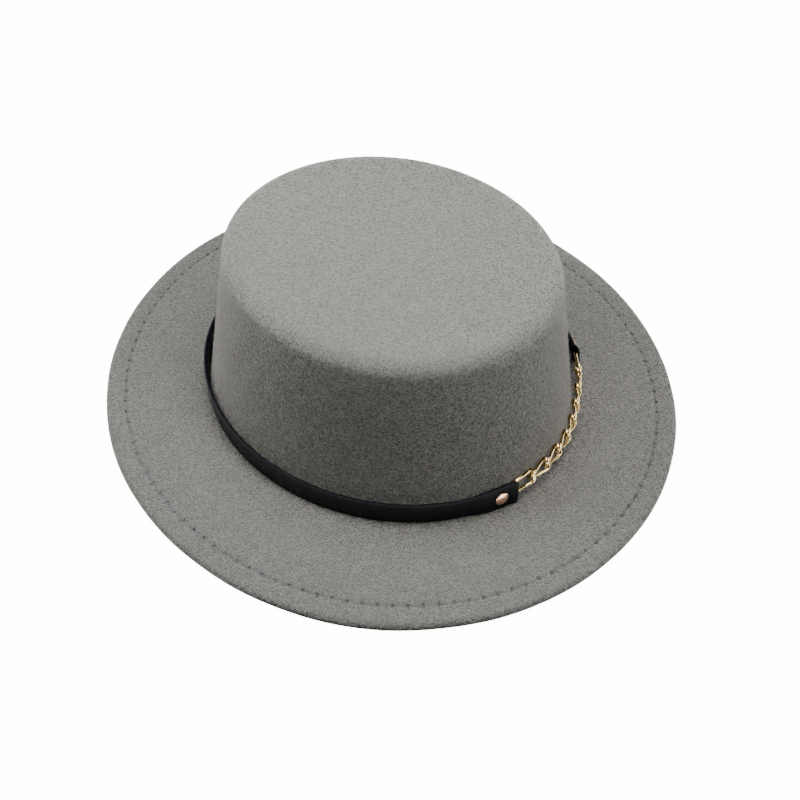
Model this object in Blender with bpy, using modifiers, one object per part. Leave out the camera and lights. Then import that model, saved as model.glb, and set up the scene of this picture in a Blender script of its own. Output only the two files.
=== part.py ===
"""Flat top fedora: a felt hat with a leather strap round its crown and a curb chain across the front.

Metres, +Z up. The hat stands on the hem under its brim, with the origin in the middle of its footprint.
The long way of the oval runs along Y, and the chain lies across the front, towards -Y.
"""

import math

import bmesh
import bpy
import numpy as np
from mathutils import Matrix, Vector

# Felt
BRIM_LENGTH = 0.307
BRIM_WIDTH = 0.289
HAT_HEIGHT = 0.0978
CROWN_LENGTH = 0.1984
CROWN_WIDTH = 0.1737
TOP_LENGTH = 0.1625
TOP_WIDTH = 0.1395
TOP_ROUNDING = 0.0070
FELT = 0.0023
BRIM_RISE = 0.0038
FOOT_ROUNDING = 0.0006
EDGE_THICKNESS = 0.0054
HEM_WIDTH = 0.013
STITCH_INSET = 0.011

# Strap and its folded ends
STRAP_HEIGHT = 0.0146
STRAP_THICKNESS = 0.0018
TONGUE_HEIGHT = 0.0044
TONGUE_THICKNESS = 0.0009
FOLD_SLACK = 0.0006
SHOULDER = 0.0015
RIVET_BACK = 0.0078
TONGUE_PAST_RIVET = 0.005
RIVET_RISE = 0.0005
STRAP_BEVEL = 0.4
STRAP_EASE = 0.016

# How far the strap's loose far end stands off the crown, and how far from it this dies out
FAR_STANDOFF = 0.004
STANDOFF_REACH = 0.045

# Rivets
CAP_DIAMETER = 0.0072
CAP_HEIGHT = 0.0015
CAP_RIM = 0.0005
SHANK_DIAMETER = 0.0026
CLINCH_DIAMETER = 0.0042
CLINCH_THICKNESS = 0.0004

# Chain
LINK_COUNT = 9
LINK_PITCH = 0.0107
LINK_WIDTH = 0.0082
END_LINK_WIDTH = 0.0100
WIRE = 0.0017
LINK_TWIST = 0.0013
LINK_SQUARENESS = 0.08
CHAIN_RISE = 0.0021
CHAIN_CENTRE = math.radians(-87)

# Fits
CLEARANCE = 0.0003
WIRE_PLAY = 0.00045
LINK_PLAY = 0.0004

# Fineness of the faceted shapes
OVAL_STEPS = 84
LINK_STEPS = 16
RIVET_STEPS = 16
DOME_STEPS = 6
STRAP_STEPS = 60
TONGUE_STEPS = 8
FOLD_STEPS = 13
FACE_STEPS = 20
TOP_STEPS = 7
FOOT_STEPS = 4
EDGE_STEPS = 9
LINE_STEPS = 4000
SHARP_ANGLE = math.radians(40)

# Shape of the brim's top near its edge: how far in, as a share of the stitch inset, and how high, as a
# share of the edge's thickness
EDGE_TOP = (
    {"inset": 1.45, "height": 0.93},
    {"inset": 1.00, "height": 0.90},
    {"inset": 0.65, "height": 0.99},
)

# What follows from the sizes above
WIRE_RADIUS = WIRE / 2
LINK_HALF_LENGTH = (LINK_PITCH + WIRE + LINK_PLAY) / 2
FOLD_RADIUS = WIRE_RADIUS + WIRE_PLAY + TONGUE_THICKNESS / 2
CHAIN_OUT = max(LINK_TWIST + WIRE_RADIUS, FOLD_RADIUS + TONGUE_THICKNESS / 2) + CLEARANCE
STRAP_MIDDLE = BRIM_RISE + 2 * CLEARANCE + STRAP_HEIGHT / 2
END_HALF_SPAN = (LINK_COUNT - 1) / 2 * LINK_PITCH + LINK_HALF_LENGTH
RIVET_FLAT = CAP_DIAMETER / 2
TONGUE_AT_RIVET = 2 * CLEARANCE + CLINCH_THICKNESS + TONGUE_THICKNESS / 2
FACE_AT_RIVET = TONGUE_AT_RIVET + TONGUE_THICKNESS / 2 + CLEARANCE + STRAP_THICKNESS / 2
CAP_OUT = FACE_AT_RIVET + STRAP_THICKNESS / 2 + CLEARANCE
HOLE_DEPTH = 2 * CAP_OUT


def clear_scene():
    for found in list(bpy.data.objects):
        bpy.data.objects.remove(found)


def new_collection(name):
    made = bpy.data.collections.new(name)
    bpy.context.scene.collection.children.link(made)
    return made


def new_material(name, colour, roughness, metallic):
    """A Principled material with a linear colour."""
    made = bpy.data.materials.new(name)
    made.use_nodes = True
    shader = made.node_tree.nodes["Principled BSDF"]
    shader.inputs["Base Color"].default_value = (*colour, 1)
    shader.inputs["Roughness"].default_value = roughness
    shader.inputs["Metallic"].default_value = metallic
    return made


def ease(share):
    """0 below 0, 1 above 1, and a smooth rise between."""
    held = min(max(share, 0), 1)
    return held * held * (3 - 2 * held)


def blend(start, end, share):
    return start + (end - start) * share


def mesh_object(name, mesh, material, collection):
    made = bpy.data.objects.new(name, mesh)
    made.data.materials.append(material)
    collection.objects.link(made)
    return made


def loft(name, rings):
    """A closed mesh through rings of equal count, each a list of points, with a flat face at each end."""
    shape = bmesh.new()
    rows = [[shape.verts.new(point) for point in ring] for ring in rings]
    count = len(rows[0])
    for near, far in zip(rows, rows[1:]):
        for k in range(count):
            after = (k + 1) % count
            shape.faces.new((near[k], near[after], far[after], far[k]))
    shape.faces.new(rows[0])
    shape.faces.new(rows[-1])
    bmesh.ops.recalc_face_normals(shape, faces=shape.faces)
    mesh = bpy.data.meshes.new(name)
    shape.to_mesh(mesh)
    shape.free()
    mesh.shade_smooth()
    mesh.set_sharp_from_angle(angle=SHARP_ANGLE)
    return mesh


def wall_half(foot, top, height):
    """Half the crown's outer length or width where its straight wall is at this height."""
    return blend(foot, top, (height - BRIM_RISE) / (HAT_HEIGHT - BRIM_RISE)) / 2


def wall_ring(height, out):
    """Half length, half width and height of a ring this far outside the crown's wall."""
    return (
        wall_half(CROWN_LENGTH, TOP_LENGTH, height) + out,
        wall_half(CROWN_WIDTH, TOP_WIDTH, height) + out,
        height,
    )


def edge_ring(inset, height):
    """Half length, half width and height of a ring this far inside the brim's edge."""
    return BRIM_LENGTH / 2 - inset, BRIM_WIDTH / 2 - inset, height


def top_rounding(radius, out, top):
    """Rings from the flat top down its rounding to the wall."""
    for turn in np.linspace(math.pi / 2, 0, TOP_STEPS):
        height = top - radius * (1 - math.sin(turn))
        yield wall_ring(height, out - radius * (1 - math.cos(turn)))


def foot_rounding(radius, out, foot):
    """Rings from the wall down its rounding to the brim."""
    for turn in np.linspace(0, math.pi / 2, FOOT_STEPS):
        height = foot + radius * (1 - math.sin(turn))
        yield wall_ring(height, out + radius * (1 - math.cos(turn)))


def edge_rounding():
    """Rings round the half round edge of the brim, from its top to its underside."""
    radius = EDGE_THICKNESS / 2
    for turn in np.linspace(math.pi / 2, -math.pi / 2, EDGE_STEPS):
        yield edge_ring(radius * (1 - math.cos(turn)), radius * (1 + math.sin(turn)))


def felt_outline():
    """Every ring of the felt, from the middle of the top, over the outside, to the inside of the top."""
    outside = list(top_rounding(TOP_ROUNDING, 0, HAT_HEIGHT))
    outside += foot_rounding(FOOT_ROUNDING, 0, BRIM_RISE)
    brim = [edge_ring(row["inset"] * STITCH_INSET, row["height"] * EDGE_THICKNESS) for row in EDGE_TOP]
    hem_top = EDGE_TOP[0]["height"] * EDGE_THICKNESS - FELT
    hem = [edge_ring(HEM_WIDTH, 0), edge_ring(HEM_WIDTH, hem_top)]
    under = BRIM_RISE - FELT
    inside = list(foot_rounding(FOOT_ROUNDING + FELT, -FELT, under))[::-1]
    inside += list(top_rounding(TOP_ROUNDING - FELT, -FELT, HAT_HEIGHT - FELT))[::-1]
    return outside + brim + list(edge_rounding()) + hem + inside


def oval(half_length, half_width, height):
    turns = np.linspace(0, 2 * math.pi, OVAL_STEPS, endpoint=False)
    return [(half_width * math.cos(turn), half_length * math.sin(turn), height) for turn in turns]


def build_felt(collection):
    felt = new_material("grey_felt", (0.235, 0.228, 0.208), 1.0, 0.0)
    mesh = loft("felt_body", [oval(*ring) for ring in felt_outline()])
    mesh_object("felt_body", mesh, felt, collection)


def standoff(distance):
    """How much further from the wall the chain's line lies, at a distance from the chain's middle."""
    away = abs(distance - END_HALF_SPAN - RIVET_BACK)
    return FAR_STANDOFF * (1 + math.cos(math.pi * min(away / STANDOFF_REACH, 1))) / 2


class ChainLine:
    """The chain's line round the crown: level, close to the wall, and standing off it at the far end."""

    def __init__(self):
        self.half_length = wall_half(CROWN_LENGTH, TOP_LENGTH, STRAP_MIDDLE)
        self.half_width = wall_half(CROWN_WIDTH, TOP_WIDTH, STRAP_MIDDLE)
        rise = HAT_HEIGHT - BRIM_RISE
        self.length_slope = (CROWN_LENGTH - TOP_LENGTH) / 2 / rise
        self.width_slope = (CROWN_WIDTH - TOP_WIDTH) / 2 / rise
        self.turns = CHAIN_CENTRE + np.linspace(-math.pi, math.pi, LINE_STEPS + 1)
        walls = [self.wall(turn) for turn in self.turns]
        close = np.array([point + level * (CHAIN_OUT / normal.dot(level)) for point, level, normal in walls])
        distances = self.lengths(close)
        away = np.array([standoff(distance) for distance in distances])
        levels = np.array([level for _, level, _ in walls])
        self.points = close + levels * away[:, None]
        self.along = self.lengths(self.points)
        self.ways = np.gradient(self.points, axis=0)

    @staticmethod
    def lengths(points):
        """Distance along a line of points, counted from its middle point."""
        steps = np.linalg.norm(np.diff(points, axis=0), axis=1)
        along = np.concatenate(([0], np.cumsum(steps)))
        return along - along[len(along) // 2]

    def wall(self, turn):
        """The wall's point at the strap's middle height, the level way out and the wall's normal there."""
        cosine, sine = math.cos(turn), math.sin(turn)
        point = Vector((self.half_width * cosine, self.half_length * sine, STRAP_MIDDLE))
        level = Vector((cosine / self.half_width, sine / self.half_length, 0))
        lift = cosine * cosine * self.width_slope / self.half_width
        lift += sine * sine * self.length_slope / self.half_length
        return point, level.normalized(), Vector((level.x, level.y, lift)).normalized()

    def turn_at(self, distance):
        """The turn of the oval at a distance along the line, from its middle towards its far end."""
        return float(np.interp(distance, self.along, self.turns))

    def read(self, rows, turn):
        """One of the line's rows of vectors, read at a turn."""
        wrapped = CHAIN_CENTRE - math.pi + (turn - CHAIN_CENTRE + math.pi) % (2 * math.pi)
        return Vector([np.interp(wrapped, self.turns, column) for column in rows.T])

    def placed(self, turn, out, lean=1.0, rise=0.0):
        """A matrix whose X runs along, Y up and Z out, this far from the wall: lean 1 lies along the wall."""
        _, level, normal = self.wall(turn)
        along = self.read(self.ways, turn).normalized()
        leaning = level.lerp(normal, lean)
        facing = (leaning - along * leaning.dot(along)).normalized()
        up = facing.cross(along)
        centre = self.read(self.points, turn) + facing * (out - CHAIN_OUT) + up * rise
        return Matrix.Translation(centre) @ Matrix((along, up, facing)).transposed().to_4x4()


def upright_out(line, turn):
    """How far out the upright strap's middle runs, so that its lower edge clears the sloping wall."""
    _, level, normal = line.wall(turn)
    slope = normal.z / normal.dot(level)
    level_out = slope * STRAP_HEIGHT / 2 + CLEARANCE + STRAP_THICKNESS / 2
    return level_out + CHAIN_OUT - CHAIN_OUT / normal.dot(level)


def held_out(line, side):
    """How far out the wire that an end of the strap folds round lies at the strap's joint."""
    link = link_place(line, LINK_COUNT - 1 if side > 0 else 0)
    joint = line.placed(line.turn_at(side * END_HALF_SPAN), 0.0)
    return (joint.inverted() @ link @ Vector((side * LINK_HALF_LENGTH, 0, 0))).z


def tongue_stations(wire_out):
    """Stations of the tongue behind the strap, from its tip to the fold round a wire this far out."""
    reach = RIVET_BACK + TONGUE_PAST_RIVET
    at_fold = wire_out - FOLD_RADIUS
    for back in np.linspace(reach, -FOLD_SLACK, TONGUE_STEPS)[:-1]:
        nearness = ease(back / (RIVET_BACK - RIVET_FLAT))
        yield {"back": back, "out": blend(at_fold, TONGUE_AT_RIVET, nearness), "turn": math.pi,
               "height": TONGUE_HEIGHT, "thickness": TONGUE_THICKNESS, "lean": 1.0,
               "rise": blend(CHAIN_RISE, RIVET_RISE, nearness)}


def fold_stations(wire_out):
    """Stations round the fold, from the tongue to the face. The strap widens where it leaves the link."""
    for turn in np.linspace(math.pi, 0, FOLD_STEPS):
        narrow = min((FOLD_SLACK + FOLD_RADIUS * turn) / SHOULDER, 1)
        share = math.sqrt(1 - narrow * narrow)
        yield {"back": -FOLD_SLACK - FOLD_RADIUS * math.sin(turn),
               "out": wire_out + FOLD_RADIUS * math.cos(turn), "turn": turn,
               "height": blend(TONGUE_HEIGHT, STRAP_HEIGHT, share), "thickness": TONGUE_THICKNESS,
               "lean": 1.0, "rise": blend(CHAIN_RISE, 0, share)}


def face_stations(wire_out, upright):
    """Stations of the strap's face, from the fold past the rivet to where it runs upright."""
    fold_end = wire_out + FOLD_RADIUS
    rivet_far = RIVET_BACK + RIVET_FLAT
    for back in np.linspace(0, rivet_far + STRAP_EASE, FACE_STEPS):
        past = ease((back - rivet_far) / STRAP_EASE)
        to_rivet = ease(back / (RIVET_BACK - RIVET_FLAT))
        yield {"back": back, "out": blend(blend(fold_end, FACE_AT_RIVET, to_rivet), upright, past),
               "turn": 0.0, "height": STRAP_HEIGHT,
               "thickness": blend(TONGUE_THICKNESS, STRAP_THICKNESS, to_rivet), "lean": 1 - past, "rise": 0.0}


def section(matrix, station, side):
    """The eight corners of the strap's bevelled section at a station. Side is 1 at the chain's far end."""
    height = station["height"] / 2
    thickness = station["thickness"] / 2
    bevel = thickness * STRAP_BEVEL
    up = Vector((0, 1, 0))
    out = Vector((-side * math.sin(station["turn"]), 0, math.cos(station["turn"])))
    corners = ((height, thickness - bevel), (height - bevel, thickness), (bevel - height, thickness),
               (-height, thickness - bevel), (-height, bevel - thickness), (bevel - height, -thickness),
               (height - bevel, -thickness), (height, bevel - thickness))
    return [matrix @ (up * high + out * away) for high, away in corners]


def end_sections(line, side):
    """Sections of one end of the strap, from the tongue's tip to the upright run."""
    joint = side * END_HALF_SPAN
    last = line.turn_at(joint + side * (RIVET_BACK + RIVET_FLAT + STRAP_EASE))
    wire_out = held_out(line, side)
    upright = upright_out(line, last)
    made = []
    for station in [*tongue_stations(wire_out), *fold_stations(wire_out), *face_stations(wire_out, upright)]:
        turn = line.turn_at(joint + side * station["back"])
        place = line.placed(turn, station["out"], station["lean"], station["rise"])
        made.append(section(place, station, side))
    return made, last


def build_strap(line, collection, cutters):
    leather = new_material("black_leather", (0.006, 0.007, 0.009), 0.5, 0.0)
    near, near_turn = end_sections(line, -1)
    far, far_turn = end_sections(line, 1)
    plain = {"turn": 0.0, "height": STRAP_HEIGHT, "thickness": STRAP_THICKNESS}
    round_back = []
    for turn in np.linspace(near_turn, far_turn - 2 * math.pi, STRAP_STEPS)[1:-1]:
        place = line.placed(turn, upright_out(line, turn), 0.0)
        round_back.append(section(place, plain, 1))
    strap = mesh_object("strap", loft("strap", near + round_back + far[::-1]), leather, collection)
    for side in (-1, 1):
        drill_rivet_hole(strap, line, side, cutters)


def link_place(line, k):
    """Where the link of this number lies, counted from 0 at the chain's near end."""
    distance = (k - (LINK_COUNT - 1) / 2) * LINK_PITCH
    return line.placed(line.turn_at(distance), CHAIN_OUT, rise=CHAIN_RISE)


def rivet_place(line, side, out):
    turn = line.turn_at(side * (END_HALF_SPAN + RIVET_BACK))
    return line.placed(turn, out, rise=RIVET_RISE)


def drill_rivet_hole(strap, line, side, cutters):
    shape = bmesh.new()
    radius = SHANK_DIAMETER / 2 + CLEARANCE
    bmesh.ops.create_cone(shape, cap_ends=True, segments=RIVET_STEPS, radius1=radius, radius2=radius,
                          depth=HOLE_DEPTH)
    mesh = bpy.data.meshes.new("rivet_hole")
    shape.to_mesh(mesh)
    shape.free()
    cutter = bpy.data.objects.new("rivet_hole", mesh)
    cutters.objects.link(cutter)
    cutter.matrix_world = rivet_place(line, side, FACE_AT_RIVET)
    cutter.hide_render = True
    cutter.display_type = "WIRE"
    cut = strap.modifiers.new("rivet_hole", "BOOLEAN")
    cut.operation = "DIFFERENCE"
    cut.object = cutter


def rivet_profile():
    """Half section of a rivet, from the top of its cap down to the middle of its clinched head."""
    radius = CAP_DIAMETER / 2
    dome = CAP_HEIGHT - CAP_RIM
    points = [(radius * math.sin(turn), CAP_RIM + dome * math.cos(turn))
              for turn in np.linspace(0, math.pi / 2, DOME_STEPS)]
    shank = SHANK_DIAMETER / 2
    clinch = CLINCH_DIAMETER / 2
    clinch_foot = CLEARANCE - CAP_OUT
    clinch_top = clinch_foot + CLINCH_THICKNESS
    points += [(radius, 0), (shank, 0), (shank, clinch_top), (clinch, clinch_top), (clinch, clinch_foot),
               (0, clinch_foot)]
    return points


def build_rivet(name, line, side, metal, collection):
    points = rivet_profile()
    mesh = bpy.data.meshes.new(name)
    mesh.from_pydata([(x, 0, z) for x, z in points], [(k, k + 1) for k in range(len(points) - 1)], [])
    rivet = mesh_object(name, mesh, metal, collection)
    rivet.matrix_world = rivet_place(line, side, CAP_OUT)
    screw = rivet.modifiers.new("turned", "SCREW")
    screw.steps = RIVET_STEPS
    screw.render_steps = RIVET_STEPS
    screw.use_merge_vertices = True
    screw.merge_threshold = 0.00001
    screw.use_smooth_shade = True


def link_curve(name, metal, held_side):
    """A twisted oval of wire. held_side is the end where a strap holds it flat: -1, 1, or 0 for neither."""
    half_width = ((END_LINK_WIDTH if held_side else LINK_WIDTH) - WIRE) / 2
    curve = bpy.data.curves.new(name, "CURVE")
    curve.dimensions = "3D"
    curve.bevel_depth = WIRE_RADIUS
    curve.bevel_resolution = 1
    spline = curve.splines.new("POLY")
    spline.points.add(LINK_STEPS - 1)
    spline.use_cyclic_u = True
    for k, point in enumerate(spline.points):
        turn = 2 * math.pi * k / LINK_STEPS
        square = LINK_SQUARENESS
        x = LINK_HALF_LENGTH * (math.cos(turn) - square * math.cos(3 * turn)) / (1 - square)
        y = half_width * (math.sin(turn) + square * math.sin(3 * turn)) / (1 - square)
        free = ((1 - held_side * math.cos(turn)) / 2) ** 2 if held_side else 1
        z = -LINK_TWIST * math.sin(2 * turn) * free
        point.co = (x, y, z, 1)
    curve.materials.append(metal)
    return curve


def build_chain(line, collection):
    gold = new_material("gold_metal", (0.80, 0.58, 0.25), 0.22, 1.0)
    curves = {side: link_curve("link", gold, side) for side in (-1, 0, 1)}
    for k in range(LINK_COUNT):
        held_side = {0: -1, LINK_COUNT - 1: 1}.get(k, 0)
        link = bpy.data.objects.new(f"chain_link_{k + 1}", curves[held_side])
        collection.objects.link(link)
        link.matrix_world = link_place(line, k)


def main():
    clear_scene()
    hat = new_collection("flat_top_fedora")
    cutters = new_collection("cutters")
    line = ChainLine()
    build_felt(hat)
    build_strap(line, hat, cutters)
    copper = new_material("copper_metal", (0.62, 0.36, 0.24), 0.35, 1.0)
    build_rivet("rivet_near", line, -1, copper, hat)
    build_rivet("rivet_far", line, 1, copper, hat)
    build_chain(line, hat)


main()
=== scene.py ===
"""Dresses the flat top fedora: felt with its hem and nap, stitches, leather strap, rivets and curb chain.

Metres, +Z up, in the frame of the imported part. Every shape is a numpy surface: a grid of points that
follows a formula of two parameters, or a profile carried along a path.
"""

import math

import bpy
import numpy as np
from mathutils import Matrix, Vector


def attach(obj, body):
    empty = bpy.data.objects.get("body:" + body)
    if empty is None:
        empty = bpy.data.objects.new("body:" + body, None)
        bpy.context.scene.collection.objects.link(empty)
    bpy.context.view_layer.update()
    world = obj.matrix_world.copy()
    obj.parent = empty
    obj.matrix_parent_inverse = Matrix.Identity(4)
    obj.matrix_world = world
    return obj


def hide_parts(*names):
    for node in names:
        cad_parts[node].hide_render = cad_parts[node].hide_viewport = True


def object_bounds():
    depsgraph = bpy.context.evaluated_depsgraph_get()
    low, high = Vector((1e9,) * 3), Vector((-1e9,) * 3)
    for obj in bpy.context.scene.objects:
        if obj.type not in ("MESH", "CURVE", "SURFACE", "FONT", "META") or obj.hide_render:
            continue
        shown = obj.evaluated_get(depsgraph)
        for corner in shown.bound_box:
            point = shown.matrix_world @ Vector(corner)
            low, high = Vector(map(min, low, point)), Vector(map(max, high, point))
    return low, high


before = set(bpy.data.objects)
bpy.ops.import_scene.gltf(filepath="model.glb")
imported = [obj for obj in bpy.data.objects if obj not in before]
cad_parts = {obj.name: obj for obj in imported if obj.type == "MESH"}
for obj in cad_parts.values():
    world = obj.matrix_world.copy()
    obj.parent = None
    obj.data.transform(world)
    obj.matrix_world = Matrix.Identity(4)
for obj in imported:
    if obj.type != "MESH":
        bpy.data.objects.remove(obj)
CAD_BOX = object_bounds()

bl_info = {
    "name": "Flat Top Fedora",
    "version": (1, 0, 0),
    "blender": (4, 5, 0),
    "location": "View3D > Sidebar > Fedora",
    "description": "Felt hat with a stitched hem, a leather strap and a curb chain",
    "category": "Add Mesh",
}

BODY = "root"
LOW, HIGH = (np.array(corner) for corner in CAD_BOX)
FULL = 2 * math.pi
CAMERA_TURN = tuple(math.radians(angle) for angle in (38.019, -0.901, -63.926))


# Settings

def length(name, text, default):
    """A size in metres."""
    return bpy.props.FloatProperty(name=name, description=text, default=default, unit="LENGTH", precision=5)


def share(name, text, default, top=1.0):
    """A plain number from 0 up."""
    return bpy.props.FloatProperty(name=name, description=text, default=default, min=0.0, max=top)


def power(name, text, default):
    """A light's power in watts."""
    return bpy.props.FloatProperty(name=name, description=text, default=default, min=0.0, unit="POWER")


def colour(name, text, default):
    """A linear colour."""
    return bpy.props.FloatVectorProperty(name=name, description=text, default=default, size=3,
                                         subtype="COLOR", min=0.0, max=1.0)


class FEDORA_PG_felt(bpy.types.PropertyGroup):
    """Sizes and colours of the felt."""
    brim_length: length("Brim length", "Brim from front to back", float(HIGH[1] - LOW[1]))
    brim_width: length("Brim width", "Brim from side to side", float(HIGH[0] - LOW[0]))
    height: length("Height", "Height of the flat top above the floor", float(HIGH[2] - LOW[2]))
    crown_length: length("Crown length", "Foot of the crown, front to back", 0.1984)
    crown_width: length("Crown width", "Foot of the crown, side to side", 0.1737)
    top_length: length("Top length", "Top of the crown, front to back", 0.1625)
    top_width: length("Top width", "Top of the crown, side to side", 0.1395)
    rounding: length("Top rounding", "Radius where the top turns into the wall", 0.0070)
    thickness: length("Felt thickness", "Thickness of the felt", 0.0023)
    brim_rise: length("Brim rise", "Top of the brim where it meets the crown", 0.0038)
    edge: length("Edge thickness", "Thickness of the folded edge", 0.0054)
    hem: length("Hem width", "How far the edge is folded in under the brim", 0.013)
    waviness: length("Edge waviness", "How far the edge strays from a true oval", 0.0006)
    waves: length("Brim waves", "How far the brim's edge lifts off a plane", 0.0006)
    fibres: bpy.props.IntProperty(name="Fibres", description="How many loose fibres stand on the felt",
                                  default=46000, min=1)
    fibre: length("Fibre length", "Length of a long fibre", 0.0019)
    base: colour("Felt", "Colour of the felt", (0.235, 0.230, 0.212))
    nap: colour("Nap", "Colour of the light fibre tips", (0.42, 0.41, 0.38))


class FEDORA_PG_stitches(bpy.types.PropertyGroup):
    """The row of stitches that holds the hem."""
    inset: length("Inset", "How far inside the edge the stitches run", 0.011)
    pitch: length("Stitch length", "Length of one stitch", 0.0070)
    thread: length("Thread", "Thickness of the thread", 0.00050)
    groove: length("Groove", "How deep the stitches pull the felt in", 0.0005)
    thread_colour: colour("Thread colour", "Colour of the thread", (0.135, 0.155, 0.168))


class FEDORA_PG_strap(bpy.types.PropertyGroup):
    """Sizes and colour of the leather strap and its rivets."""
    height: length("Height", "Height of the strap", 0.0146)
    thickness: length("Thickness", "Thickness of the leather", 0.0018)
    tongue_height: length("Tongue height", "Height of the tongue behind the strap", 0.0044)
    tongue_thickness: length("Tongue thickness", "Thickness of the tongue", 0.0009)
    fold_slack: length("Fold slack", "Play between strap end and fold", 0.0006)
    shoulder: length("Shoulder", "Length over which the end narrows to the fold", 0.0015)
    rivet_back: length("Rivet place", "How far the rivet sits behind the fold", 0.0078)
    past_rivet: length("Tongue end", "How far the tongue runs on past the rivet", 0.005)
    rivet_rise: length("Rivet rise", "Height of the rivet above the strap's middle", 0.0005)
    easing: length("Easing", "Length over which the strap turns upright", 0.016)
    cap: length("Rivet cap", "Diameter of the rivet's cap", 0.0072)
    cap_height: length("Cap height", "Height of the rivet's cap", 0.0015)
    leather: colour("Leather", "Colour of the leather", (0.0036, 0.0042, 0.0060))
    copper: colour("Copper", "Colour of the rivets", (0.62, 0.37, 0.24))


class FEDORA_PG_chain(bpy.types.PropertyGroup):
    """Sizes and colour of the curb chain."""
    count: bpy.props.IntProperty(name="Links", description="Number of links", default=9, min=3)
    pitch: length("Pitch", "Distance from link to link", 0.0107)
    width: length("Width", "Width of a link", 0.0082)
    end_width: length("End width", "Width of the two end links", 0.0100)
    wire: length("Wire", "Thickness of the wire", 0.0017)
    twist: length("Twist", "How far a link's sides are bent out of its plane", 0.0013)
    squareness: share("Squareness", "How square the links' ends are", 0.08)
    rise: length("Rise", "Height of the chain above the strap's middle", 0.0021)
    centre: bpy.props.FloatProperty(name="Centre", description="Where on the oval the chain's middle lies",
                                    default=math.radians(-87), subtype="ANGLE")
    standoff: length("Standoff", "How far the far end stands off the crown", 0.004)
    reach: length("Standoff reach", "How far from the far end that dies out", 0.045)
    clearance: length("Clearance", "Gap between pieces that touch", 0.0003)
    wire_play: length("Wire play", "Room round the wire in the strap's fold", 0.00045)
    link_play: length("Link play", "Room between two links", 0.0004)
    gold: colour("Gold", "Colour of the chain", (0.86, 0.64, 0.30))


class FEDORA_PG_stage(bpy.types.PropertyGroup):
    """Camera, floor and light."""
    camera: bpy.props.FloatVectorProperty(name="Camera", description="Where the camera stands", size=3,
                                          subtype="TRANSLATION", unit="LENGTH",
                                          default=(-0.30173, -0.14654, 0.41292))
    view: bpy.props.FloatVectorProperty(name="View", description="How the camera is turned", size=3,
                                        subtype="EULER", default=CAMERA_TURN)
    lens: bpy.props.FloatProperty(name="Lens", description="Focal length in millimetres", default=44.036,
                                  min=1.0)
    floor: colour("Floor", "Colour of the floor", (0.90, 0.90, 0.90))
    overhead: power("Overhead light", "Power of the wide light overhead", 8.0)
    front: power("Front light", "Power of the small light low over the front right", 0.64)
    middle: power("Middle light", "Power of the small light low over the crown", 0.48)
    left: power("Left light", "Power of the small light low over the left", 0.62)
    side: power("Side light", "Power of the light far out on the left", 1.33)
    glow: share("Glow", "How brightly floor and air show", 14.0, 100.0)


# Meshes

def circle(count):
    """Even turns once round, in radians."""
    return np.linspace(0, FULL, count, endpoint=False)


def grid_faces(rows, columns, close_rows=False):
    """Quads of a grid whose points are numbered row by row, closed round every row, and if asked from the
    last row back to the first."""
    row = np.arange(rows if close_rows else rows - 1)[:, None] * columns
    column = np.arange(columns)[None, :]
    after_row = (row + columns) % (rows * columns)
    after_column = (column + 1) % columns
    corners = (after_row + column, after_row + after_column, row + after_column, row + column)
    return beside(*corners).reshape(-1, 4)


def end_faces(rows, columns):
    """Triangles that close a grid's first and last row to two points numbered on after the grid's own."""
    column = np.arange(columns)
    after = (column + 1) % columns
    last = (rows - 1) * columns
    hub = rows * columns
    return np.concatenate([beside(hub, column, after), beside(hub + 1, last + after, last + column)])


def copies(faces, count, step):
    """The faces of one shape for each of its copies, whose points are numbered on by the step."""
    return (np.arange(count)[:, None, None] * step + faces).reshape(-1, faces.shape[1])


def beside(*columns):
    """Columns side by side, each an array or one number."""
    return np.stack(np.broadcast_arrays(*columns), axis=-1)


def tube(centre, across, up, radius, sides):
    """Points of a round section carried along lines: centre + radius (cos r across + sin r up)."""
    ring = circle(sides)[:, None]
    centre, across, up = (ways[..., None, :] for ways in (centre, across, up))
    return centre + radius * (np.cos(ring) * across + np.sin(ring) * up)


def new_mesh(name, points, quads, triangles=None):
    """A smooth mesh from an array of points and arrays of quads and triangles."""
    triangles = np.zeros((0, 3), int) if triangles is None else triangles
    mesh = bpy.data.meshes.new(name)
    mesh.vertices.add(len(points))
    mesh.vertices.foreach_set("co", np.asarray(points, np.float32).ravel())
    corners = np.concatenate([quads.ravel(), triangles.ravel()])
    mesh.loops.add(len(corners))
    mesh.loops.foreach_set("vertex_index", corners.astype(np.int32))
    mesh.polygons.add(len(quads) + len(triangles))
    starts = np.concatenate([np.arange(len(quads)) * 4, quads.size + np.arange(len(triangles)) * 3])
    mesh.polygons.foreach_set("loop_start", starts.astype(np.int32))
    mesh.update(calc_edges=True)
    mesh.validate()
    mesh.shade_smooth()
    return mesh


def new_object(name, data):
    """An object in the scene that shows this mesh, light or camera."""
    made = bpy.data.objects.new(name, data)
    bpy.context.scene.collection.objects.link(made)
    return made


def new_piece(name, mesh, material, slot, *nodes):
    """A piece with its material, set on the body in place of the nodes that it stands for."""
    mesh.materials.append(material)
    piece = new_object(name, mesh)
    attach(piece, BODY)
    if nodes:
        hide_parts(*nodes)
    return piece


def ease(value):
    """0 below 0, 1 above 1, and three squares less two cubes between."""
    held = np.clip(value, 0, 1)
    return held * held * (3 - 2 * held)


def blend(start, end, value):
    """The straight mix of start and end."""
    return start + (end - start) * value


def unit(vectors):
    """Vectors of length one."""
    return vectors / np.linalg.norm(vectors, axis=-1, keepdims=True)


def bump_at(value, middle, width):
    """A bell of height one round the middle."""
    return np.exp(-((value - middle) / width) ** 2)


# Felt

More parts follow.
